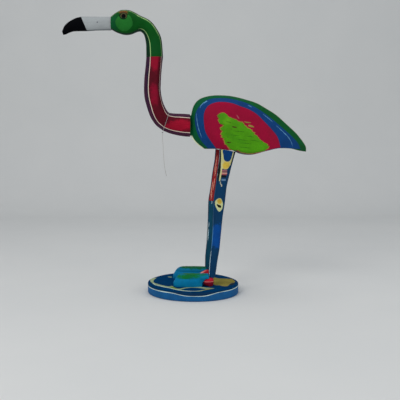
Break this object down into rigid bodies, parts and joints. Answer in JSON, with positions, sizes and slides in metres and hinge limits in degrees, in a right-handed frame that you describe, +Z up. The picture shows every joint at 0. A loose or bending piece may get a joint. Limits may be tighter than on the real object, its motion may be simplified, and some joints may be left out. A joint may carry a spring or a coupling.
{
  "type": "carved foam flamingo figure",
  "caption": "Standing flamingo figure carved from glued coloured foam sheets, on two legs with feet and a round layered base, with a thin string tied round its neck.",
  "frame": {"origin": "centre of the round base's flat underside, where the figure stands", "axes": "+Z up, -X towards the beak, -Y towards the bird's left side"},
  "size_m": [0.7043, 0.26, 0.8122],
  "materials": {
    "blue_foam": "sanded",
    "navy_foam": "sanded",
    "cream_foam": "sanded",
    "yellow_foam": "sanded",
    "teal_foam": "sanded",
    "green_foam": "sanded",
    "light_green_foam": "sanded",
    "lime_foam": "sanded",
    "pale_green_foam": "sanded",
    "magenta_foam": "sanded",
    "crimson_foam": "sanded",
    "maroon_foam": "sanded",
    "purple_foam": "sanded",
    "red_foam": "sanded",
    "white_foam": "sanded",
    "grey_foam": "sanded",
    "black_foam": "sanded",
    "tan_foam": "sanded",
    "rod_steel": "drawn",
    "dowel_wood": "plain",
    "string_cotton": "twisted"
  },
  "bodies": {
    "root": {"base_bottom_sheet": "blue_foam", "base_lower_cream_sheet": "cream_foam", "base_middle_sheet": "navy_foam", "base_top_sheet": "navy_foam", "base_upper_cream_sheet": "yellow_foam", "beak_core": "grey_foam", "beak_dowel": "dowel_wood", "beak_side_left": "white_foam", "beak_side_right": "white_foam", "beak_tip": "black_foam", "body_blue_left": "blue_foam", "body_blue_right": "blue_foam", "body_centre_sheet": "cream_foam", "body_green_left": "green_foam", "body_green_right": "green_foam", "body_lime_left": "lime_foam", "body_lime_right": "lime_foam", "body_magenta_left": "magenta_foam", "body_magenta_right": "magenta_foam", "eye_pupil_left": "black_foam", "eye_pupil_right": "black_foam", "eye_ring_left": "tan_foam", "eye_ring_right": "tan_foam", "head_cheek_left": "light_green_foam", "head_cheek_right": "light_green_foam", "head_core": "green_foam", "head_green_left": "green_foam", "head_green_right": "green_foam", "head_pale_left": "pale_green_foam", "head_pale_right": "pale_green_foam", "left_foot_sole": "teal_foam", "left_foot_top": "green_foam", "left_heel_lower": "red_foam", "left_heel_upper": "red_foam", "left_leg_core": "navy_foam", "left_leg_inner": "crimson_foam", "left_leg_outer": "blue_foam", "left_leg_rod": "rod_steel", "neck_dowel": "dowel_wood", "neck_lower_core": "purple_foam", "neck_lower_cream_left": "cream_foam", "neck_lower_cream_right": "cream_foam", "neck_lower_outer_left": "crimson_foam", "neck_lower_outer_right": "crimson_foam", "neck_middle_core": "purple_foam", "neck_middle_cream_left": "cream_foam", "neck_middle_cream_right": "cream_foam", "neck_middle_outer_left": "maroon_foam", "neck_middle_outer_right": "maroon_foam", "right_foot_sole": "teal_foam", "right_foot_top": "green_foam", "right_heel_lower": "red_foam", "right_heel_upper": "red_foam", "right_leg_core": "navy_foam", "right_leg_inner": "crimson_foam", "right_leg_outer": "blue_foam", "right_leg_rod": "rod_steel", "string_knot": "string_cotton", "string_loop": "string_cotton", "string_tail": "string_cotton"}
  },
  "joints": []
}
